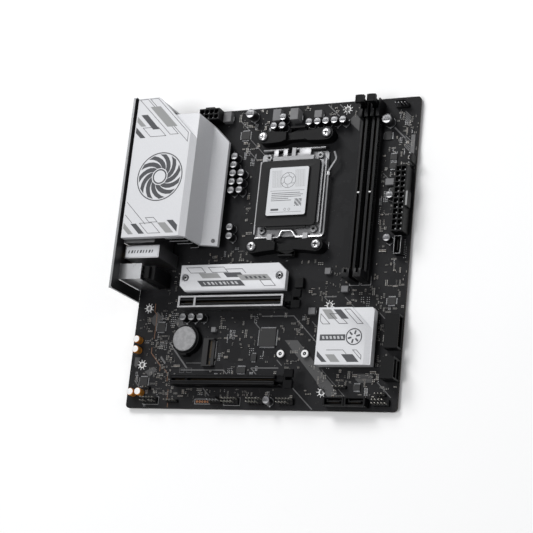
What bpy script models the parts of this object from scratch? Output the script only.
"""Micro-ATX motherboard with an AM5-style processor socket, as separate sub-parts.

The board lies flat.  Sizes are in millimetres, turned into metres where meshes are made.
Places are measured from the circuit board's rear top corner, on its component side:
x runs from the rear (port) edge to the front edge, y is minus the distance from the top
edge, and z is the height above the component side.  An empty holds that corner, so that
the whole object stands centred on the origin with its lowest point at z = 0.
"""

import math

import bmesh
import bpy
from mathutils import Matrix, Vector

MM = 0.001
GAP = 0.3

# Driving dimensions of the circuit board.
BOARD_WIDTH = 225.0
BOARD_LENGTH = 243.84
BOARD_THICKNESS = 1.6
BOARD_CORNER_RADIUS = 3.0
UNDERSIDE_CLEARANCE = 2.4
REAR_OVERHANG = 10.5

# Mounting holes of the form factor.
MOUNTING_HOLE_RADIUS = 1.98
REAR_HOLE_X = 10.16
FRONT_HOLE_X = 165.1
HOLE_F_Y = -29.21
HOLE_J_Y = -6.35
HOLE_CH_Y = -163.83
HOLE_B_Y = -209.55
HOLE_R_Y = -229.87

# Processor socket.
SOCKET_X = 125.6
SOCKET_Y = -74.2
SOCKET_SCREW_DX = 21.8
SOCKET_SCREW_DY = 30.0
SOCKET_SCREW_RADIUS = 1.3
FRAME_TOP = 1.5
PLATE_BOTTOM = 5.0
PLATE_TOP = 6.2
HINGE_Y = -38.5
HINGE_Z = 4.4
HINGE_RADIUS = 1.2
LEVER_Y = -110.0
LEVER_Z = 3.6
LEVER_RADIUS = 0.95
LEVER_ARM_X = 155.8

# Cooler brackets.
BRACKET_SCREW_DX = 27.0
BRACKET_SCREW_DY = 45.0
BRACKET_TOP = 9.8
BRACKET_SCREW_RADIUS = 1.5

# Rear input and output panel.
SHIELD_REAR_X = -2.2
SHIELD_FRONT_X = -1.4
SHIELD_TOP = 42.2
SHIELD_BOTTOM = -2.2
SHIELD_LIP = 1.1
SHIELD_Y = (-158.5, -0.6)
PORT_REAR_X = -3.0

# Voltage regulator heatsink and cover.
COVER_TOP = 40.0
COVER_UNDERSIDE = 35.2
COVER_X = (0.5, 51.0)
COVER_Y = (-117.3, -1.0)
HEATSINK_TOP_Y = -15.5
HEATSINK_RIDGE_X = 55.5
HEATSINK_RIDGE_Z = 36.7
HEATSINK_CREASE = (57.6, 14.6)
HEATSINK_FRONT_X = 69.9
HEATSINK_WING_Z = (7.0, 10.3)
HEATSINK_WING_REACH = 3.4
END_NOTCH_DEPTH = 5.0
FIN_ROOT_X = 52.5
FINS = ((8.4, 45.5), (19.0, 39.5), (25.8, 36.0), (32.6, 36.0))
FIN_THICKNESS = 1.2
DIAGONAL_COVER = 18.5
DIAGONAL_HEATSINK = 39.0

# Memory slots.
DIMM_X = (183.4, 192.7)
DIMM_Y = (-147.8, -4.0)
DIMM_WIDTH = 7.2
DIMM_BODY_TOP = 8.5
DIMM_KEY_Y = -78.1
DIMM_TOWER_TOP = 19.8
DIMM_LATCH_Y = -8.0
DIMM_LATCH_Z = 4.0

# Expansion slots.
PCIE_Y = (-162.1, -223.1)
PCIE_X = (42.8, 131.0)
PCIE_WIDTH = 7.6
PCIE_TOP = 11.3
PCIE_KEY_X = (55.7, 57.6)
PCIE_LATCH_X = 136.2
PCIE_LATCH_Z = 4.5

# Solid-state drive slots.
M2_COOLER_X = (40.3, 131.0)
M2_COOLER_Y = (-153.3, -132.0)
M2_COOLER_Z = (4.8, 9.5)
M2_SCREW_X = (44.6, 125.6)
M2_SCREW_Y = -142.0
M2_STANDOFF_X = (129.6, 149.6)
M2_STANDOFF_Y = -201.4

# Chipset heatsink.
CHIPSET_X = (162.0, 205.3)
CHIPSET_Y = (-211.6, -168.3)
CHIPSET_FLAT_Z = 9.5
CHIPSET_ART_Z = 11.0
CHIPSET_ART_X = 200.2
CHIPSET_DIAGONAL = 19.7

# Power sockets.
POWER_PITCH = 4.2
POWER_CELL = 3.3
POWER_TOP = 12.8
ATX_X = 213.4
ATX_Y = -111.3
ATX_CELLS = (2, 12)
EPS_X = 41.2
EPS_Y = -11.5
EPS_CELLS = (4, 2)

# Coin battery.
BATTERY_X = 49.3
BATTERY_Y = -190.6
BATTERY_RADIUS = 10.0
BATTERY_Z = (5.2, 8.4)

PIN_PITCH = 2.54
PIN_SIDE = 0.64

# Solder tails and locating pegs that pass through the board and stand below it.
TAIL_SIDE = 1.1
TAIL_INSET = 2.2


def clear_scene():
    for old in list(bpy.data.objects):
        bpy.data.objects.remove(old, do_unlink=True)


def make_collection(name):
    collection = bpy.data.collections.new(name)
    bpy.context.scene.collection.children.link(collection)
    return collection


clear_scene()
PARTS = make_collection("motherboard")
TOOLS = make_collection("construction")

CORNER = bpy.data.objects.new("board_corner", None)
CORNER.location = (
    -(BOARD_WIDTH - REAR_OVERHANG) / 2 * MM,
    BOARD_LENGTH / 2 * MM,
    (BOARD_THICKNESS + UNDERSIDE_CLEARANCE) * MM,
)
PARTS.objects.link(CORNER)


def make_material(name, color, roughness, metallic=0.0):
    material = bpy.data.materials.new(name)
    material.use_nodes = True
    shader = material.node_tree.nodes["Principled BSDF"]
    shader.inputs["Base Color"].default_value = (*color, 1.0)
    shader.inputs["Roughness"].default_value = roughness
    shader.inputs["Metallic"].default_value = metallic
    return material


SOLDER_MASK = make_material("solder_mask", (0.03, 0.03, 0.033), 0.45)
SILVER = make_material("silver_aluminium", (0.78, 0.79, 0.8), 0.38, 1.0)
STEEL = make_material("bright_steel", (0.68, 0.69, 0.7), 0.28, 1.0)
BLACK = make_material("black_plastic", (0.015, 0.015, 0.016), 0.42)
DARK_GREY = make_material("dark_grey_plastic", (0.05, 0.05, 0.055), 0.5)
PORT_METAL = make_material("port_metal", (0.6, 0.61, 0.63), 0.3, 1.0)
PACKAGE = make_material("chip_package", (0.03, 0.03, 0.032), 0.55)
PAD = make_material("thermal_pad", (0.4, 0.42, 0.5), 0.8)
BATTERY_STEEL = make_material("battery_steel", (0.62, 0.62, 0.63), 0.35, 1.0)


def place(name, mesh, material, location=(0.0, 0.0, 0.0)):
    """Put a finished mesh in the part collection, at a point given in millimetres."""
    thing = bpy.data.objects.new(name, mesh)
    thing.location = Vector(location) * MM
    thing.parent = CORNER
    if material is None:
        thing.hide_render = True
        thing.display_type = "WIRE"
        TOOLS.objects.link(thing)
    else:
        if not mesh.materials:
            mesh.materials.append(material)
        PARTS.objects.link(thing)
    return thing


def block_mesh(name, *spans):
    """A mesh of one or more boxes; each box is ((x0, x1), (y0, y1), (z0, z1))."""
    cage = bmesh.new()
    for span in spans:
        size = [(high - low) * MM for low, high in span]
        centre = [(high + low) / 2 * MM for low, high in span]
        matrix = Matrix.Translation(centre) @ Matrix.Diagonal((*size, 1.0))
        bmesh.ops.create_cube(cage, size=1.0, matrix=matrix)
    mesh = bpy.data.meshes.new(name)
    cage.to_mesh(mesh)
    cage.free()
    return mesh


def block(name, x, y, z, material, location=(0.0, 0.0, 0.0)):
    return place(name, block_mesh(name, (x, y, z)), material, location)


def blocks(name, spans, location=(0.0, 0.0, 0.0)):
    """Several boxes as one hidden shaping tool."""
    return place(name, block_mesh(name, *spans), None, location)


def rod_mesh(name, radius, low, high, segments, axis="Z", points=((0.0, 0.0),)):
    """Upright or lying rods of one radius, one for each centre in points."""
    turn = {
        "Z": Matrix.Identity(4),
        "X": Matrix(((0, 0, 1, 0), (1, 0, 0, 0), (0, 1, 0, 0), (0, 0, 0, 1))),
        "Y": Matrix(((1, 0, 0, 0), (0, 0, -1, 0), (0, 1, 0, 0), (0, 0, 0, 1))),
    }[axis]
    middle = (low + high) / 2
    if axis == "Y":
        middle = -middle
    cage = bmesh.new()
    for u, v in points:
        centre = Matrix.Translation(Vector((u, v, middle)) * MM)
        bmesh.ops.create_cone(
            cage,
            cap_ends=True,
            segments=segments,
            radius1=radius * MM,
            radius2=radius * MM,
            depth=(high - low) * MM,
            matrix=turn @ centre,
        )
    mesh = bpy.data.meshes.new(name)
    cage.to_mesh(mesh)
    cage.free()
    return mesh


def rods(name, radius, low, high, segments, axis="Z", points=((0.0, 0.0),), location=(0, 0, 0)):
    """Rods as one hidden shaping tool."""
    mesh = rod_mesh(name, radius, low, high, segments, axis, points)
    return place(name, mesh, None, location)


def prism_mesh(name, outline, low, high, holes=(), axis="Z"):
    """A flat outline pushed along an axis; holes are inner outlines."""
    curve = bpy.data.curves.new(name, "CURVE")
    curve.dimensions = "2D"
    curve.fill_mode = "BOTH"
    curve.extrude = (high - low) / 2 * MM
    for loop in (outline, *holes):
        spline = curve.splines.new("POLY")
        spline.points.add(len(loop) - 1)
        for point, (u, v) in zip(spline.points, loop):
            point.co = (u * MM, v * MM, 0.0, 1.0)
        spline.use_cyclic_u = True
    source = bpy.data.objects.new(name, curve)
    TOOLS.objects.link(source)
    bpy.context.view_layer.update()
    evaluated = source.evaluated_get(bpy.context.evaluated_depsgraph_get())
    mesh = bpy.data.meshes.new_from_object(evaluated)
    bpy.data.objects.remove(source, do_unlink=True)
    middle = (low + high) / 2 * MM
    if axis == "X":
        turn = Matrix(((0, 0, 1, 0), (1, 0, 0, 0), (0, 1, 0, 0), (0, 0, 0, 1)))
        shift = Matrix.Translation((middle, 0, 0))
    elif axis == "Y":
        turn = Matrix(((1, 0, 0, 0), (0, 0, -1, 0), (0, 1, 0, 0), (0, 0, 0, 1)))
        shift = Matrix.Translation((0, middle, 0))
    else:
        turn = Matrix.Identity(4)
        shift = Matrix.Translation((0, 0, middle))
    cage = bmesh.new()
    cage.from_mesh(mesh)
    bmesh.ops.remove_doubles(cage, verts=cage.verts, dist=1e-6)
    bmesh.ops.transform(cage, matrix=shift @ turn, verts=cage.verts)
    bmesh.ops.recalc_face_normals(cage, faces=cage.faces)
    cage.to_mesh(mesh)
    cage.free()
    return mesh


def prism(name, outline, low, high, material, holes=(), axis="Z", location=(0, 0, 0)):
    mesh = prism_mesh(name, outline, low, high, holes, axis)
    return place(name, mesh, material, location)


def turned(name, profile, segments, material, location):
    """A round piece from its profile: points (radius, height), run from top to bottom."""
    mesh = bpy.data.meshes.new(name)
    points = [(radius * MM, 0.0, height * MM) for radius, height in profile]
    edges = [(index, index + 1) for index in range(len(points) - 1)]
    mesh.from_pydata(points, edges, [])
    thing = place(name, mesh, material, location)
    spin = thing.modifiers.new("turn", "SCREW")
    spin.steps = segments
    spin.render_steps = segments
    spin.use_merge_vertices = True
    spin.merge_threshold = 0.00001
    return thing


def combine(target, tool, operation):
    step = target.modifiers.new(operation.lower(), "BOOLEAN")
    step.operation = operation
    step.object = tool
    step.solver = "EXACT"
    return target


def cut(target, tool):
    return combine(target, tool, "DIFFERENCE")


def join(target, tool):
    return combine(target, tool, "UNION")


def circle(x, y, radius, segments):
    step = 2 * math.pi / segments
    return [
        (x + radius * math.cos(step * i), y + radius * math.sin(step * i))
        for i in range(segments)
    ]


def arc(x, y, radius, start, end, steps):
    """Points of an arc from one angle to another, in degrees."""
    turn = math.radians(end - start) / steps
    first = math.radians(start)
    return [
        (x + radius * math.cos(first + turn * i), y + radius * math.sin(first + turn * i))
        for i in range(steps + 1)
    ]


def rectangle(x, y):
    return [(x[0], y[0]), (x[1], y[0]), (x[1], y[1]), (x[0], y[1])]


def rounded_rectangle(x, y, radius, steps=3):
    left = x[0] + radius
    right = x[1] - radius
    bottom = y[0] + radius
    top = y[1] - radius
    return [
        *arc(right, top, radius, 0, 90, steps),
        *arc(left, top, radius, 90, 180, steps),
        *arc(left, bottom, radius, 180, 270, steps),
        *arc(right, bottom, radius, 270, 360, steps),
    ]


def four_around(x, y, dx, dy):
    return [(x - dx, y + dy), (x + dx, y + dy), (x - dx, y - dy), (x + dx, y - dy)]


TAIL_PLACES = []


def add_tails(piece, x, y, location=(0.0, 0.0, 0.0)):
    """Four square tails under the corners of a piece, down to the resting plane."""
    half = TAIL_SIDE / 2
    bottom = -BOARD_THICKNESS - UNDERSIDE_CLEARANCE
    corners = [(u, v) for u in inset(x, TAIL_INSET) for v in inset(y, TAIL_INSET)]
    spans = [
        ((u - half, u + half), (v - half, v + half), (bottom, GAP + 0.2)) for u, v in corners
    ]
    join(piece, blocks(f"{piece.name}_tails", spans, location))
    TAIL_PLACES.extend((u + location[0], v + location[1]) for u, v in corners)


def inset(span, margin):
    low, high = span
    if high - low < 3 * margin:
        return [(low + high) / 2]
    return [low + margin, high - margin]


SOCKET_SCREWS = four_around(SOCKET_X, SOCKET_Y, SOCKET_SCREW_DX, SOCKET_SCREW_DY)
BRACKET_SCREWS = four_around(SOCKET_X + 0.9, SOCKET_Y + 0.6, BRACKET_SCREW_DX, BRACKET_SCREW_DY)


def build_circuit_board():
    mounting = [
        (REAR_HOLE_X, HOLE_F_Y),
        (REAR_HOLE_X, HOLE_CH_Y),
        (REAR_HOLE_X, HOLE_B_Y),
        (FRONT_HOLE_X, HOLE_J_Y),
        (FRONT_HOLE_X, HOLE_CH_Y),
        (FRONT_HOLE_X, HOLE_R_Y),
    ]
    outline = rounded_rectangle((0.0, BOARD_WIDTH), (-BOARD_LENGTH, 0.0), BOARD_CORNER_RADIUS, 4)
    board = prism("pcb", outline, -BOARD_THICKNESS, 0.0, SOLDER_MASK)
    drills = {
        "mounting_holes": (MOUNTING_HOLE_RADIUS, 20, mounting),
        "socket_screw_holes": (SOCKET_SCREW_RADIUS + 0.4, 10, SOCKET_SCREWS),
        "bracket_screw_holes": (BRACKET_SCREW_RADIUS + 0.4, 10, BRACKET_SCREWS),
    }
    for name, (radius, segments, points) in drills.items():
        cut(board, rods(name, radius, -3.0, 1.0, segments, "Z", points))
    half = TAIL_SIDE / 2 + GAP
    spans = [((x - half, x + half), (y - half, y + half), (-3.0, 1.0)) for x, y in TAIL_PLACES]
    cut(board, blocks("tail_holes", spans))


def build_backplate():
    """Steel plate behind the socket; it takes the socket and cooler screws."""
    top = -BOARD_THICKNESS - GAP
    bottom = -BOARD_THICKNESS - UNDERSIDE_CLEARANCE
    x, y = SOCKET_X + 0.9, SOCKET_Y + 0.6
    outline = rounded_rectangle((x - 33, x + 33), (y - 51, y + 51), 5.0)
    window = rounded_rectangle((x - 17, x + 17), (y - 20, y + 20), 3.0)
    waist_left = rounded_rectangle((x - 29, x - 24), (y - 20, y + 20), 2.0)
    waist_right = rounded_rectangle((x + 24, x + 29), (y - 20, y + 20), 2.0)
    holes = [window, waist_left, waist_right]
    holes += [circle(u, v, SOCKET_SCREW_RADIUS + GAP, 10) for u, v in SOCKET_SCREWS]
    holes += [circle(u, v, BRACKET_SCREW_RADIUS + GAP, 10) for u, v in BRACKET_SCREWS]
    prism("cpu_backplate", outline, bottom, top, STEEL, holes)


def build_socket():
    """Contact housing with its well, and the stamped frame around it."""
    x, y = SOCKET_X, SOCKET_Y
    housing = block("cpu_socket", (x - 20, x + 20), (y - 22, y + 22), (GAP, 4.6), BLACK)
    well = blocks("socket_well", [((x - 17.5, x + 17.5), (y - 19.5, y + 19.5), (1.8, 6.0))])
    cut(housing, well)

    outline = rounded_rectangle((97.0, 153.6), (-108.4, -40.4), 2.0)
    window = rectangle((x - 20.8, x + 20.8), (y - 23, y + 23))
    holes = [window]
    holes += [circle(u, v, SOCKET_SCREW_RADIUS + GAP, 12) for u, v in SOCKET_SCREWS]
    frame = prism("socket_frame", outline, GAP, FRAME_TOP, STEEL, holes)
    rails = [
        ((97.0, 98.0), (-107.0, -47.4), (GAP + 0.1, 4.5)),
        ((152.6, 153.6), (-107.0, -47.4), (GAP + 0.1, 4.5)),
    ]
    join(frame, blocks("frame_rails", rails))
    tongue = [
        ((122.6, 125.8), (-46.0, -43.6), (GAP + 0.1, 3.4)),
        ((122.6, 125.8), (-44.2, -36.6), (2.2, 3.4)),
        ((120.4, 132.0), (-109.0, -106.8), (GAP + 0.1, 2.2)),
    ]
    for number, span in enumerate(tongue):
        join(frame, blocks(f"frame_tongue_{number}", [span]))
    for number, left in enumerate((109.5, 139.5)):
        curl = ((left, left + 4.0), (-112.2, -107.6), (GAP + 0.1, 5.6))
        join(frame, blocks(f"lever_curl_{number}", [curl]))
    bore = rods(
        "lever_bore", LEVER_RADIUS + GAP, 108.0, 145.0, 12, "X", [(LEVER_Y, LEVER_Z)]
    )
    cut(frame, bore)


def screw(name, location, head, shank, segments=14):
    """Pan-head screw: head is (radius, bottom, top), shank is (radius, bottom)."""
    head_radius, head_bottom, head_top = head
    shank_radius, shank_bottom = shank
    height = head_top - head_bottom
    profile = [
        (0.0, head_top),
        (head_radius * 0.62, head_top),
        (head_radius * 0.92, head_top - height * 0.28),
        (head_radius, head_top - height * 0.62),
        (head_radius, head_bottom),
        (shank_radius, head_bottom),
        (shank_radius, shank_bottom),
        (0.0, shank_bottom),
    ]
    return turned(name, profile, segments, STEEL, (*location, 0.0))


def build_socket_screws():
    """Four socket screws with a six-sided driver recess."""
    recess = rod_mesh("driver_recess", 1.3, 3.0, 6.0, 6)
    for number, (x, y) in enumerate(SOCKET_SCREWS, start=1):
        head = (3.0, FRAME_TOP + GAP, 4.4)
        piece = screw(f"socket_screw_{number}", (x, y), head, (SOCKET_SCREW_RADIUS, -3.7))
        cut(piece, place(f"driver_recess_{number}", recess, None, (x, y, 0.0)))


def bracket_outline(side):
    """Bowed bar with round ends; side is 1 for the upper bracket and -1 for the lower."""
    x = SOCKET_X + 0.9
    y = SOCKET_Y + 0.6 + side * BRACKET_SCREW_DY
    dx = BRACKET_SCREW_DX
    inner = [
        (x - dx + 6.0, y - side * 5.4),
        (x - 12.0, y - side * 5.0),
        (x - 6.0, y - side * 2.6),
        (x + 6.0, y - side * 2.6),
        (x + 12.0, y - side * 5.0),
        (x + dx - 6.0, y - side * 5.4),
    ]
    if side > 0:
        right = arc(x + dx, y, 5.4, -90, 90, 6)
        left = arc(x - dx, y, 5.4, 90, 270, 6)
    else:
        right = arc(x + dx, y, 5.4, 90, -90, 6)
        left = arc(x - dx, y, 5.4, 270, 90, 6)
    outer = [
        (x + dx - 8.0, y + side * 4.2),
        (x + 9.0, y + side * 3.2),
        (x - 9.0, y + side * 3.2),
        (x - dx + 8.0, y + side * 4.2),
    ]
    return inner + right + outer + left


def build_brackets():
    x = SOCKET_X + 0.9
    names = {1: "cooler_bracket_top", -1: "cooler_bracket_bottom"}
    for side, name in names.items():
        y = SOCKET_Y + 0.6 + side * BRACKET_SCREW_DY
        ends = [(x - BRACKET_SCREW_DX, y), (x + BRACKET_SCREW_DX, y)]
        bracket = prism(name, bracket_outline(side), GAP, BRACKET_TOP, BLACK)
        cut(bracket, rods(f"{name}_bores", BRACKET_SCREW_RADIUS + GAP, -1.0, 12.0, 12, "Z", ends))
        saddle = ((x - 7.5, x + 7.5), (y - 8.0, y + 8.0), (6.4, 12.0))
        cut(bracket, blocks(f"{name}_saddle", [saddle]))
        hook = sorted((y + side * 2.0, y + side * 8.2))
        lip = sorted((y + side * 6.4, y + side * 8.0))
        join(bracket, blocks(f"{name}_hook", [((x - 5.5, x + 8.0), hook, (3.2, 6.0))]))
        join(bracket, blocks(f"{name}_lip", [((x - 5.0, x + 7.5), lip, (5.0, 8.4))]))

    cross = block_mesh(
        "cross_recess",
        ((-1.9, 1.9), (-0.4, 0.4), (10.6, 13.0)),
    )
    bar = block_mesh(
        "cross_recess_bar",
        ((-0.4, 0.4), (-1.9, 1.9), (10.6, 13.0)),
    )
    for number, (u, v) in enumerate(BRACKET_SCREWS, start=1):
        head = (3.7, BRACKET_TOP + GAP, 12.0)
        piece = screw(f"bracket_screw_{number}", (u, v), head, (BRACKET_SCREW_RADIUS, -3.7))
        cut(piece, place(f"cross_recess_{number}", cross, None, (u, v, 0.0)))
        cut(piece, place(f"cross_recess_bar_{number}", bar, None, (u, v, 0.0)))


def build_load_plate():
    """Hinged plate that holds the processor down, its origin on the hinge line."""
    x, y = SOCKET_X, SOCKET_Y
    pivot = (x, HINGE_Y, HINGE_Z)
    outline = rounded_rectangle((-26.2, 26.2), (-61.4, -10.2), 1.2, 2)
    window = rounded_rectangle((-16.5, 16.5), (y - HINGE_Y - 18.0, y - HINGE_Y + 18.0), 2.0)
    low = PLATE_BOTTOM - HINGE_Z
    high = PLATE_TOP - HINGE_Z
    plate = prism("load_plate", outline, low, high, STEEL, [window], location=pivot)
    strips = [
        ((-17.4, 17.4), (-10.6, -6.0), (low, high)),
        ((-17.4, 17.4), (-64.6, -61.0), (low, high)),
    ]
    join(plate, blocks("load_plate_strips", strips, pivot))
    arms = [
        ((-17.2, -13.2), (-7.0, -0.4), (0.2, high - 0.1)),
        ((-9.2, -5.4), (-7.0, -0.4), (0.2, high - 0.1)),
        ((4.6, 14.4), (-7.0, -0.4), (0.2, high - 0.1)),
    ]
    join(plate, blocks("load_plate_arms", arms, pivot))
    for number, span in enumerate(((-26.6, -5.2), (1.6, 26.2))):
        name = f"load_plate_knuckle_{number}"
        join(plate, rods(name, HINGE_RADIUS, *span, 12, "X", location=pivot))
    return plate


def build_socket_cap(plate):
    """Pick-and-place cap that clips on the load plate, with a raised label panel."""
    low = PLATE_TOP + GAP
    outline = rounded_rectangle((-26.0, 24.2), (-28.2, 25.6), 2.5)
    location = (SOCKET_X, SOCKET_Y, 0.0)
    cap = prism("socket_cap", outline, low, 8.2, DARK_GREY, location=location)
    panel = prism_mesh("cap_panel", rounded_rectangle((-17.4, 16.4), (-20.4, 19.4), 1.0), 8.0, 9.9)
    join(cap, place("cap_panel", panel, None, location))
    finger = ((-17.0, 16.6), (-30.2, -27.0), (low, 7.4))
    join(cap, blocks("cap_finger", [finger], location))
    cap.parent = plate
    cap.location = (0.0, (SOCKET_Y - HINGE_Y) * MM, -HINGE_Z * MM)


def wire(name, points, radius, material, location):
    """Bent wire as a round-section mesh with welded ends."""
    curve = bpy.data.curves.new(name, "CURVE")
    curve.dimensions = "3D"
    curve.bevel_depth = radius * MM
    curve.bevel_resolution = 2
    curve.use_fill_caps = True
    spline = curve.splines.new("POLY")
    spline.points.add(len(points) - 1)
    for point, place_mm in zip(spline.points, points):
        point.co = (*(Vector(place_mm) * MM), 1.0)
    source = bpy.data.objects.new(name, curve)
    TOOLS.objects.link(source)
    bpy.context.view_layer.update()
    evaluated = source.evaluated_get(bpy.context.evaluated_depsgraph_get())
    mesh = bpy.data.meshes.new_from_object(evaluated)
    bpy.data.objects.remove(source, do_unlink=True)
    cage = bmesh.new()
    cage.from_mesh(mesh)
    bmesh.ops.remove_doubles(cage, verts=cage.verts, dist=1e-6)
    bmesh.ops.recalc_face_normals(cage, faces=cage.faces)
    cage.to_mesh(mesh)
    cage.free()
    return place(name, mesh, material, location)


def build_load_lever():
    """Wire lever: a cranked shaft along the socket's lower edge and an arm beside it."""
    arm = LEVER_ARM_X - SOCKET_X
    points = [
        (-27.0, 0.0, 0.0), (-7.4, 0.0, 0.0), (-6.2, 1.2, 0.4), (-4.6, 4.4, 1.4),
        (-3.6, 4.9, 1.5), (3.6, 4.9, 1.5), (4.8, 4.2, 1.3), (6.8, 1.0, 0.3),
        (8.0, 0.0, 0.0), (arm - 3.0, 0.0, 0.0), (arm - 1.3, 0.5, 0.0),
        (arm - 0.3, 1.6, 0.0), (arm, 3.2, 0.0), (arm, 50.6, 1.2), (arm + 0.4, 52.2, 1.4),
        (arm + 6.0, 60.2, 2.6), (arm + 6.3, 61.8, 2.8), (arm + 4.6, 66.6, 3.4),
    ]
    wire("load_lever", points, LEVER_RADIUS, STEEL, (SOCKET_X, LEVER_Y, LEVER_Z))


def build_vrm_heatsink():
    """Extruded silver block with fins, and the cover plate over the rear ports."""
    y = COVER_Y
    comb = []
    for height, tip in FINS:
        low = height - FIN_THICKNESS / 2
        high = height + FIN_THICKNESS / 2
        comb += [(FIN_ROOT_X, low), (tip, low), (tip, high), (FIN_ROOT_X, high)]
    profile = [
        (FIN_ROOT_X, 3.6), *comb, (FIN_ROOT_X, COVER_UNDERSIDE), (COVER_X[0], COVER_UNDERSIDE),
        (COVER_X[0], HEATSINK_RIDGE_Z), (HEATSINK_RIDGE_X, HEATSINK_RIDGE_Z), HEATSINK_CREASE,
        (HEATSINK_FRONT_X, HEATSINK_WING_Z[1]), (HEATSINK_FRONT_X, HEATSINK_WING_Z[0]),
        (HEATSINK_FRONT_X - HEATSINK_WING_REACH, HEATSINK_WING_Z[0]),
        (HEATSINK_FRONT_X - HEATSINK_WING_REACH, 3.6),
    ]
    body = prism("vrm_heatsink", profile, y[0], HEATSINK_TOP_Y, SILVER, axis="Y")
    cover = [
        (COVER_X[0] - 0.1, COVER_UNDERSIDE - 0.1), (HEATSINK_RIDGE_X - 0.6, COVER_UNDERSIDE - 0.1),
        (HEATSINK_RIDGE_X, HEATSINK_RIDGE_Z), (COVER_X[1], COVER_TOP), (COVER_X[0] - 0.1, COVER_TOP),
    ]
    slab = prism("cover_slab", cover, y[0] - 0.2, y[1], None, axis="Y")
    corner = [
        (DIAGONAL_COVER - y[1] - 1, y[1] + 1), (DIAGONAL_COVER + 60.0, y[1] + 1),
        (DIAGONAL_COVER + 60.0, -60.0),
    ]
    cut(slab, prism("cover_diagonal", corner, 30.0, 45.0, None))
    join(body, slab)
    end_wall = ((COVER_X[0] + 0.1, 19.0), (y[1] - 2.0, y[1] - 0.1), (4.0, COVER_UNDERSIDE + 1.0))
    join(body, blocks("cover_end_wall", [end_wall]))
    front_corner = [
        (DIAGONAL_HEATSINK + 14.0, -14.0), (DIAGONAL_HEATSINK + 60.0, -14.0),
        (DIAGONAL_HEATSINK + 60.0, -60.0),
    ]
    cut(body, prism("heatsink_diagonal", front_corner, 0.0, 50.0, None))
    # The root stops short of the lower end, behind the skin of the two sloping faces.
    notch = [
        (FIN_ROOT_X - 0.1, 3.0), (FIN_ROOT_X - 0.1, 33.0), (53.4, 33.0), (55.4, 12.0),
        (HEATSINK_FRONT_X - 0.5, HEATSINK_WING_Z[0] + 0.2), (HEATSINK_FRONT_X + 1.0, 3.0),
    ]
    cut(body, prism("end_notch", notch, y[0] - 1.0, y[0] + END_NOTCH_DEPTH, None, axis="Y"))
    block("vrm_thermal_pad", (56.0, 66.0), (-112.0, -38.0), (2.3, 3.3), PAD)


def build_rear_shield():
    x = (SHIELD_REAR_X, SHIELD_FRONT_X)
    margin = 0.4
    tray = block("rear_io_shield", x, SHIELD_Y, (SHIELD_BOTTOM, SHIELD_TOP), BLACK)
    flange = 0.8
    y0, y1 = SHIELD_Y
    lip = ((x[0] - SHIELD_LIP, x[0] + 0.1), (y0 + 0.1, y1 - 0.1), (SHIELD_TOP - 1.0, SHIELD_TOP))
    join(tray, blocks("shield_lip", [lip]))
    folds = [
        ((x[0], -0.35), (y1 - flange, y1 + 0.05), (SHIELD_BOTTOM + 0.1, SHIELD_TOP - 0.1)),
        ((x[0], -0.35), (y0 - 0.05, y0 + flange), (SHIELD_BOTTOM + 0.1, SHIELD_TOP - 0.1)),
    ]
    join(tray, blocks("shield_folds", folds))
    openings = []
    for low_y, high_y, top in PORT_SPANS.values():
        openings.append(((-5.0, 2.0), (low_y - margin, high_y + margin), (-margin, top + margin)))
    cut(tray, blocks("shield_openings", openings))
    button = rods("button_opening", 2.2, -5.0, 2.0, 12, "X", [(BUTTON_Y, BUTTON_Z)])
    cut(tray, button)
    aerials = rods("aerial_openings", 3.8, -5.0, 2.0, 14, "X", AERIALS)
    cut(tray, aerials)


PORT_SPANS = {
    "usb_port_stack_1": (-32.6, -18.0, 16.2),
    "video_port_stack": (-60.2, -42.0, 21.0),
    "usb_port_stack_2": (-96.2, -81.6, 16.2),
    "lan_port_stack": (-118.9, -102.3, 31.0),
    "audio_port_stack": (-148.7, -136.2, 31.8),
}
BUTTON_Y = -9.5
BUTTON_Z = 9.0
AERIALS = ((-126.6, 9.5), (-126.6, 23.0))


def port_stack(name, front_x, cavities):
    """Metal port housing; each cavity is ((y0, y1), (z0, z1)) cut in from the rear."""
    low_y, high_y, top = PORT_SPANS[name]
    shell = block(name, (PORT_REAR_X, front_x), (low_y, high_y), (GAP, top), PORT_METAL)
    spans = [((PORT_REAR_X - 1.0, 9.0), y, z) for y, z in cavities]
    cut(shell, blocks(f"{name}_cavities", spans))
    add_tails(shell, (0.0, front_x), (low_y, high_y))


def centred(middle, width):
    return (middle - width / 2, middle + width / 2)


def build_ports():
    usb_width = 12.5
    usb_height = 5.1
    for name in ("usb_port_stack_1", "usb_port_stack_2"):
        middle = sum(PORT_SPANS[name][:2]) / 2
        y = centred(middle, usb_width)
        port_stack(name, 17.5, [(y, (1.9, 1.9 + usb_height)), (y, (9.6, 9.6 + usb_height))])
    middle = sum(PORT_SPANS["video_port_stack"][:2]) / 2
    screen = centred(middle, 15.0)
    port_stack("video_port_stack", 18.0, [(screen, (2.4, 7.2)), (screen, (13.4, 18.0))])
    middle = sum(PORT_SPANS["lan_port_stack"][:2]) / 2
    usb = centred(middle, usb_width)
    jack = centred(middle, 12.0)
    cavities = [(usb, (1.9, 7.0)), (usb, (9.0, 14.1)), (jack, (17.4, 27.6))]
    port_stack("lan_port_stack", 25.5, cavities)

    low_y, high_y, top = PORT_SPANS["audio_port_stack"]
    jacks = block(
        "audio_port_stack", (PORT_REAR_X, 17.5), (low_y, high_y), (GAP, top), DARK_GREY
    )
    middle = (low_y + high_y) / 2
    heights = (6.0, 16.0, 26.0)
    points = [(middle, height) for height in heights]
    cut(jacks, rods("audio_bores", 1.9, PORT_REAR_X - 1.0, 8.0, 12, "X", points))
    add_tails(jacks, (0.0, 17.5), (low_y, high_y))


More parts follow.
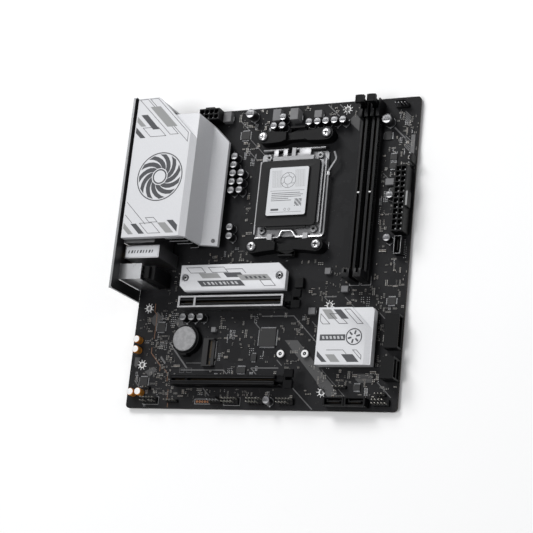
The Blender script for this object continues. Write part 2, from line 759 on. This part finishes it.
def build_wifi_module():
    shell = block("wifi_module", (0.6, 31.0), (-131.7, -121.5), (GAP, 31.4), PORT_METAL)
    join(shell, rods("aerial_posts", 3.1, -REAR_OVERHANG, 1.5, 14, "X", AERIALS))
    join(shell, rods("aerial_collars", 3.5, -1.0, 1.4, 14, "X", AERIALS))
    cut(shell, rods("aerial_bores", 1.4, -REAR_OVERHANG - 1.0, -6.0, 8, "X", AERIALS))


def build_flash_button():
    mesh = rod_mesh("flash_button", 1.7, 0.0, 5.2, 14, "X")
    place("flash_button", mesh, DARK_GREY, (PORT_REAR_X - 0.4, BUTTON_Y, BUTTON_Z))


def build_memory_slots():
    half = DIMM_WIDTH / 2
    profile = [
        (-half, GAP), (half, GAP), (half, 5.0), (half - 0.8, 5.4), (half - 0.8, DIMM_BODY_TOP),
        (0.9, DIMM_BODY_TOP), (0.9, 2.6), (-0.9, 2.6), (-0.9, DIMM_BODY_TOP),
        (-half + 0.8, DIMM_BODY_TOP), (-half + 0.8, 5.4), (-half, 5.0),
    ]
    slot_y = (DIMM_Y[0] + 1.0, -16.5)
    for number, x in enumerate(DIMM_X, start=1):
        place_at = (x, 0.0, 0.0)
        slot = prism(
            f"dimm_slot_{number}", profile, *slot_y, BLACK, axis="Y", location=place_at
        )
        add_tails(slot, (-half, half), slot_y, place_at)
        key = ((-1.2, 1.2), (DIMM_KEY_Y - 0.9, DIMM_KEY_Y + 0.9), (2.0, DIMM_BODY_TOP - 0.4))
        tower = ((-3.1, 3.1), (DIMM_Y[0], DIMM_Y[0] + 6.6), (GAP, DIMM_TOWER_TOP))
        housing = ((-half - 0.1, half + 0.1), (-18.4, DIMM_Y[1]), (GAP, 12.0))
        join(slot, blocks(f"dimm_key_{number}", [key], place_at))
        join(slot, blocks(f"dimm_tower_{number}", [tower], place_at))
        join(slot, blocks(f"dimm_housing_{number}", [housing], place_at))
        groove = ((-0.9, 0.9), (DIMM_Y[0] + 3.4, DIMM_Y[0] + 8.0), (2.6, DIMM_TOWER_TOP + 1.0))
        mouth = ((-0.9, 0.9), (-19.0, -10.0), (2.6, 13.0))
        bay = ((-2.4, 2.4), (-12.0, 0.0), (-1.0, 13.0))
        cut(slot, blocks(f"dimm_groove_{number}", [groove], place_at))
        cut(slot, blocks(f"dimm_mouth_{number}", [mouth], place_at))
        cut(slot, blocks(f"dimm_bay_{number}", [bay], place_at))

        side = [
            (2.4, -2.4), (2.4, 12.4), (3.6, 14.4), (3.6, 18.0), (-2.4, 18.0), (-2.4, 14.6),
            (-1.4, 12.4), (-2.4, -2.4),
        ]
        pivot = (x, DIMM_LATCH_Y, DIMM_LATCH_Z)
        latch = prism(
            f"dimm_latch_{number}", side, -2.0, 2.0, BLACK, axis="X", location=pivot
        )
        paddle = ((-3.4, 3.4), (-2.3, 3.5), (14.5, 17.9))
        join(latch, blocks(f"dimm_paddle_{number}", [paddle], pivot))


def build_expansion_slots():
    half = PCIE_WIDTH / 2
    profile = [
        (-half, GAP), (half, GAP), (half, PCIE_TOP), (0.95, PCIE_TOP), (0.95, 2.6),
        (-0.95, 2.6), (-0.95, PCIE_TOP), (-half, PCIE_TOP),
    ]
    for number, y in enumerate(PCIE_Y, start=1):
        place_at = (0.0, y, 0.0)
        slot = prism(
            f"pcie_slot_{number}", profile, *PCIE_X, BLACK, axis="X", location=place_at
        )
        add_tails(slot, PCIE_X, (-half, half), place_at)
        ends = [
            ((PCIE_X[0], PCIE_X[0] + 1.4), (-1.2, 1.2), (2.0, PCIE_TOP - 0.2)),
            (PCIE_KEY_X, (-1.2, 1.2), (2.0, PCIE_TOP - 0.4)),
            ((PCIE_X[1] - 1.2, PCIE_X[1]), (-1.2, 1.2), (2.0, 8.0)),
        ]
        join(slot, blocks(f"pcie_ends_{number}", ends, place_at))
        cheek_start = PCIE_X[1] - 0.5
        cheeks = [
            ((cheek_start, 140.0), (-half + 0.1, -2.7), (GAP + 0.1, 6.8)),
            ((cheek_start, 140.0), (2.7, half - 0.1), (GAP + 0.1, 6.8)),
        ]
        join(slot, blocks(f"pcie_cheeks_{number}", cheeks, place_at))

        side = [
            (-2.5, -3.3), (2.5, -3.3), (2.5, 4.6), (4.4, 8.0), (10.8, 8.0), (10.8, 10.5),
            (-1.6, 10.5), (-1.6, 6.0), (-2.5, 3.0),
        ]
        pivot = (PCIE_LATCH_X, y, PCIE_LATCH_Z)
        mesh = prism_mesh(f"pcie_latch_{number}", side, -2.3, 2.3, axis="Y")
        latch = place(f"pcie_latch_{number}", mesh, BLACK, pivot)
        wings = ((3.8, 11.0), (-7.2, 7.2), (7.8, 10.6))
        join(latch, blocks(f"pcie_wings_{number}", [wings], pivot))
        notch = ((5.4, 12.0), (-1.2, 1.2), (7.0, 12.0))
        cut(latch, blocks(f"pcie_notch_{number}", [notch], pivot))
    build_slot_shield()


def build_slot_shield():
    """Steel sleeve around the first expansion slot."""
    y = PCIE_Y[0]
    outer = 4.6
    inner = 4.15
    top = 12.1
    x = (PCIE_X[0] - 0.8, PCIE_X[1] + 0.8)
    sleeve = block("pcie_slot_shield", x, (y - outer, y + outer), (1.0, top), STEEL)
    inside = ((x[0] + 0.45, x[1] - 0.45), (y - inner, y + inner), (0.0, top - 0.5))
    windows = [
        ((x[0] + 1.7, PCIE_KEY_X[0] + 0.1), (y - 3.3, y + 3.3), (top - 1.0, top + 1.0)),
        ((PCIE_KEY_X[1] - 0.1, x[1] - 1.6), (y - 3.3, y + 3.3), (top - 1.0, top + 1.0)),
    ]
    cut(sleeve, blocks("sleeve_inside", [inside]))
    cut(sleeve, blocks("sleeve_windows", windows))
    gaps = [
        ((start, start + 9.0), (y - outer - 1.0, y + outer + 1.0), (0.0, 2.4))
        for start in (52.0, 75.0, 98.0)
    ]
    gaps.append(((x[1] - 1.0, x[1] + 1.0), (y - inner + 0.05, y + inner - 0.05), (0.0, 7.3)))
    cut(sleeve, blocks("sleeve_feet_gaps", gaps))


def m2_socket(name, x, y):
    """Low card-edge socket; the drive enters from the front side, over a longer lower lip."""
    shell = block(name, (0.0, 9.0), (-11.0, 11.0), (GAP, 4.3), BLACK, (x, y, 0.0))
    slot = ((3.2, 9.8), (-10.0, 10.0), (1.9, 3.3))
    cut(shell, blocks(f"{name}_slot", [slot], (x, y, 0.0)))
    mouth = ((4.5, 9.8), (-9.9, 9.9), (2.5, 5.0))
    cut(shell, blocks(f"{name}_mouth", [mouth], (x, y, 0.0)))


def standoff(name, x, y, height, hole_depth):
    profile = [
        (1.4, height - hole_depth), (1.4, height), (2.6, height), (3.0, height - 0.3),
        (3.0, height - 1.0), (2.4, height - 1.2), (2.4, GAP), (0.0, GAP),
    ]
    closed = [(0.0, height - hole_depth), *profile]
    turned(name, closed, 16, STEEL, (x, y, 0.0))


def build_drive_slots():
    x, y = M2_COOLER_X, M2_COOLER_Y
    outline = [
        (x[0], y[1]), (124.2, y[1]), (x[1], -138.2), (x[1], y[0]), (45.4, y[0]), (x[0], -148.2),
    ]
    holes = [circle(screw_x, M2_SCREW_Y, 1.6, 12) for screw_x in M2_SCREW_X]
    cooler = prism("m2_heatsink", outline, *M2_COOLER_Z, SILVER, holes)
    counterbores = [(screw_x, M2_SCREW_Y) for screw_x in M2_SCREW_X]
    cut(cooler, rods("m2_counterbores", 3.3, 8.1, 12.0, 16, "Z", counterbores))
    low_edge = [(y[0] - 1.0, 8.2), (y[0] + 1.6, M2_COOLER_Z[1] + 0.4), (y[0] - 1.0, M2_COOLER_Z[1] + 0.4)]
    cut(cooler, prism("m2_lower_bevel", low_edge, x[0] - 1, x[1] + 1, None, axis="X"))
    post = ((42.6, 46.0), (M2_SCREW_Y - 5.0, M2_SCREW_Y - 2.2), (0.9, 5.2))
    join(cooler, blocks("m2_cooler_post", [post]))
    for number, screw_x in enumerate(M2_SCREW_X, start=1):
        head = (2.5, 8.4, 9.7)
        piece = screw(f"m2_screw_{number}", (screw_x, M2_SCREW_Y), head, (1.2, 3.4), 12)
        recess = rods(f"m2_recess_{number}", 1.0, 9.1, 11.0, 6, location=(screw_x, M2_SCREW_Y, 0))
        cut(piece, recess)
    m2_socket("m2_socket_1", 47.0, -142.6)
    m2_socket("m2_socket_2", 64.3, -200.4)
    standoff("m2_standoff_1", M2_SCREW_X[1], M2_SCREW_Y, 3.0, 1.2)
    for number, standoff_x in enumerate(M2_STANDOFF_X, start=2):
        standoff(f"m2_standoff_{number}", standoff_x, M2_STANDOFF_Y, 3.0, 1.6)
    clip_outline = [
        (-3.3, -4.0), (3.5, -4.0), (3.5, 4.0), (0.2, 4.0), (-3.3, 1.6),
    ]
    prism("m2_clip", clip_outline, GAP, 4.2, BLACK, location=(139.8, -146.6, 0.0))


def build_chipset():
    x, y = CHIPSET_X, CHIPSET_Y
    block("chipset", (173.0, 193.0), (-200.0, -180.0), (GAP, 2.3), PACKAGE)
    outline = [
        (x[0], y[0]), (x[1], y[0]), (x[1], y[1] - 1.8), (x[1] - 1.8, y[1]), (x[0], y[1]),
    ]
    body = prism("chipset_heatsink", outline, 2.8, CHIPSET_FLAT_Z, SILVER)
    profile = [
        (x[0] - 0.1, 8.0), (204.6, 8.0), (204.6, CHIPSET_FLAT_Z),
        (CHIPSET_ART_X, CHIPSET_ART_Z), (x[0] - 0.1, CHIPSET_ART_Z),
    ]
    slab = prism("chipset_slab", profile, y[0] - 0.1, y[1] - 0.1, None, axis="Y")
    corner = [
        (CHIPSET_DIAGONAL - y[1] - 1, y[1] + 1), (CHIPSET_DIAGONAL + 190.0, y[1] + 1),
        (CHIPSET_DIAGONAL + 190.0, -190.0),
    ]
    cut(slab, prism("chipset_diagonal", corner, 6.0, 13.0, None))
    join(body, slab)


def power_socket(name, x, y, cells, ramp):
    """Square-celled power socket with a latch ramp on one side."""
    columns, rows = cells
    wall = (POWER_PITCH - POWER_CELL) / 2 + 0.3
    width = columns * POWER_PITCH + 0.6 * 2
    length = rows * POWER_PITCH + 0.6 * 2
    shell = block(name, (0.0, width), (0.0, length), (GAP, POWER_TOP), BLACK, (x, y, 0.0))
    spans = []
    for column in range(columns):
        for row in range(rows):
            left = 0.3 + wall + column * POWER_PITCH
            low = 0.3 + wall + row * POWER_PITCH
            spans.append(((left, left + POWER_CELL), (low, low + POWER_CELL), (4.0, 14.0)))
    cut(shell, blocks(f"{name}_cells", spans, (x, y, 0.0)))
    join(shell, blocks(f"{name}_ramp", [ramp], (x, y, 0.0)))
    add_tails(shell, (0.0, width), (0.0, length), (x, y, 0.0))


def build_power_sockets():
    width = ATX_CELLS[0] * POWER_PITCH + 1.2
    ramp = ((width - 0.3, width + 1.7), (19.4, 31.4), (5.0, 12.2))
    power_socket("atx_power_socket", ATX_X, ATX_Y, ATX_CELLS, ramp)
    depth = EPS_CELLS[1] * POWER_PITCH + 1.2
    ramp = ((5.0, 13.0), (depth - 0.3, depth + 1.3), (5.0, 12.2))
    power_socket("cpu_power_socket", EPS_X, EPS_Y, EPS_CELLS, ramp)


def build_battery():
    place_at = (BATTERY_X, BATTERY_Y, 0.0)
    profile = [
        (0.0, BATTERY_Z[0] - GAP), (10.5, BATTERY_Z[0] - GAP), (10.5, 6.2), (11.6, 6.2),
        (11.6, GAP), (0.0, GAP),
    ]
    holder = turned("battery_holder", profile, 28, BLACK, place_at)
    clip = ((-2.6, 2.6), (-12.8, -11.2), (GAP + 0.1, 7.2))
    join(holder, blocks("battery_clip", [clip], place_at))
    low, high = BATTERY_Z
    profile = [
        (0.0, high), (BATTERY_RADIUS - 0.5, high), (BATTERY_RADIUS, high - 0.5),
        (BATTERY_RADIUS, low + 1.0), (BATTERY_RADIUS - 1.2, low), (0.0, low),
    ]
    turned("coin_battery", profile, 28, BATTERY_STEEL, place_at)


def build_edge_sockets():
    """Right-angle sockets on the front edge and upright ones on the lower edge."""
    header = block("usb3_header", (214.0, 224.7), (-198.8, -173.2), (GAP, 9.4), BLACK)
    cut(header, blocks("usb3_mouth", [((217.0, 226.0), (-197.2, -174.8), (2.0, 8.0))]))
    stack = block("sata_stack", (214.6, 224.7), (-222.2, -206.0), (GAP, 13.4), BLACK)
    mouths = [
        ((217.0, 226.0), (-220.8, -207.4), (1.5, 6.1)),
        ((217.0, 226.0), (-220.8, -207.4), (7.7, 12.3)),
    ]
    cut(stack, blocks("sata_stack_mouths", mouths))
    for number, x in enumerate((170.2, 186.9), start=1):
        name = f"sata_port_{number}"
        shell = block(name, (0.0, 16.2), (-6.6, 0.0), (GAP, 8.6), BLACK, (x, -235.0, 0.0))
        mouth = ((1.3, 14.9), (-5.6, -1.0), (2.4, 10.0))
        cut(shell, blocks(f"{name}_mouth", [mouth], (x, -235.0, 0.0)))
    shell = block("usb_c_header", (214.8, 220.4), (-127.0, -113.0), (GAP, 7.0), PORT_METAL)
    cut(shell, blocks("usb_c_mouth", [((215.5, 219.7), (-126.2, -113.8), (1.6, 8.0))]))


def pin_header(name, x, y, columns):
    """Two rows of square pins in a low plastic strip; x, y is the first upper pin."""
    base = (
        (-PIN_PITCH / 2, (columns - 0.5) * PIN_PITCH),
        (-1.5 * PIN_PITCH, PIN_PITCH / 2),
        (GAP, 2.8),
    )
    header = block(name, *base, BLACK, (x, y, 0.0))
    half = PIN_SIDE / 2
    pins = []
    for column in range(columns):
        for row in range(2):
            u = column * PIN_PITCH
            v = -row * PIN_PITCH
            pins.append(((u - half, u + half), (v - half, v + half), (2.0, 8.6)))
    join(header, blocks(f"{name}_pins", pins, (x, y, 0.0)))


def build_headers():
    block("io_controller", (-7.0, 7.0), (-7.0, 7.0), (GAP, 1.6), PACKAGE, (116.8, -188.3, 0.0))
    pin_header("audio_header", 16.7, -236.4, 5)
    pin_header("usb2_header", 87.1, -236.4, 5)
    pin_header("front_panel_header", 208.0, -236.4, 5)


build_backplate()
build_socket()
build_socket_screws()
build_brackets()
LOAD_PLATE = build_load_plate()
build_socket_cap(LOAD_PLATE)
build_load_lever()
build_vrm_heatsink()
build_rear_shield()
build_ports()
build_wifi_module()
build_flash_button()
build_memory_slots()
build_expansion_slots()
build_drive_slots()
build_chipset()
build_power_sockets()
build_battery()
build_edge_sockets()
build_headers()
build_circuit_board()
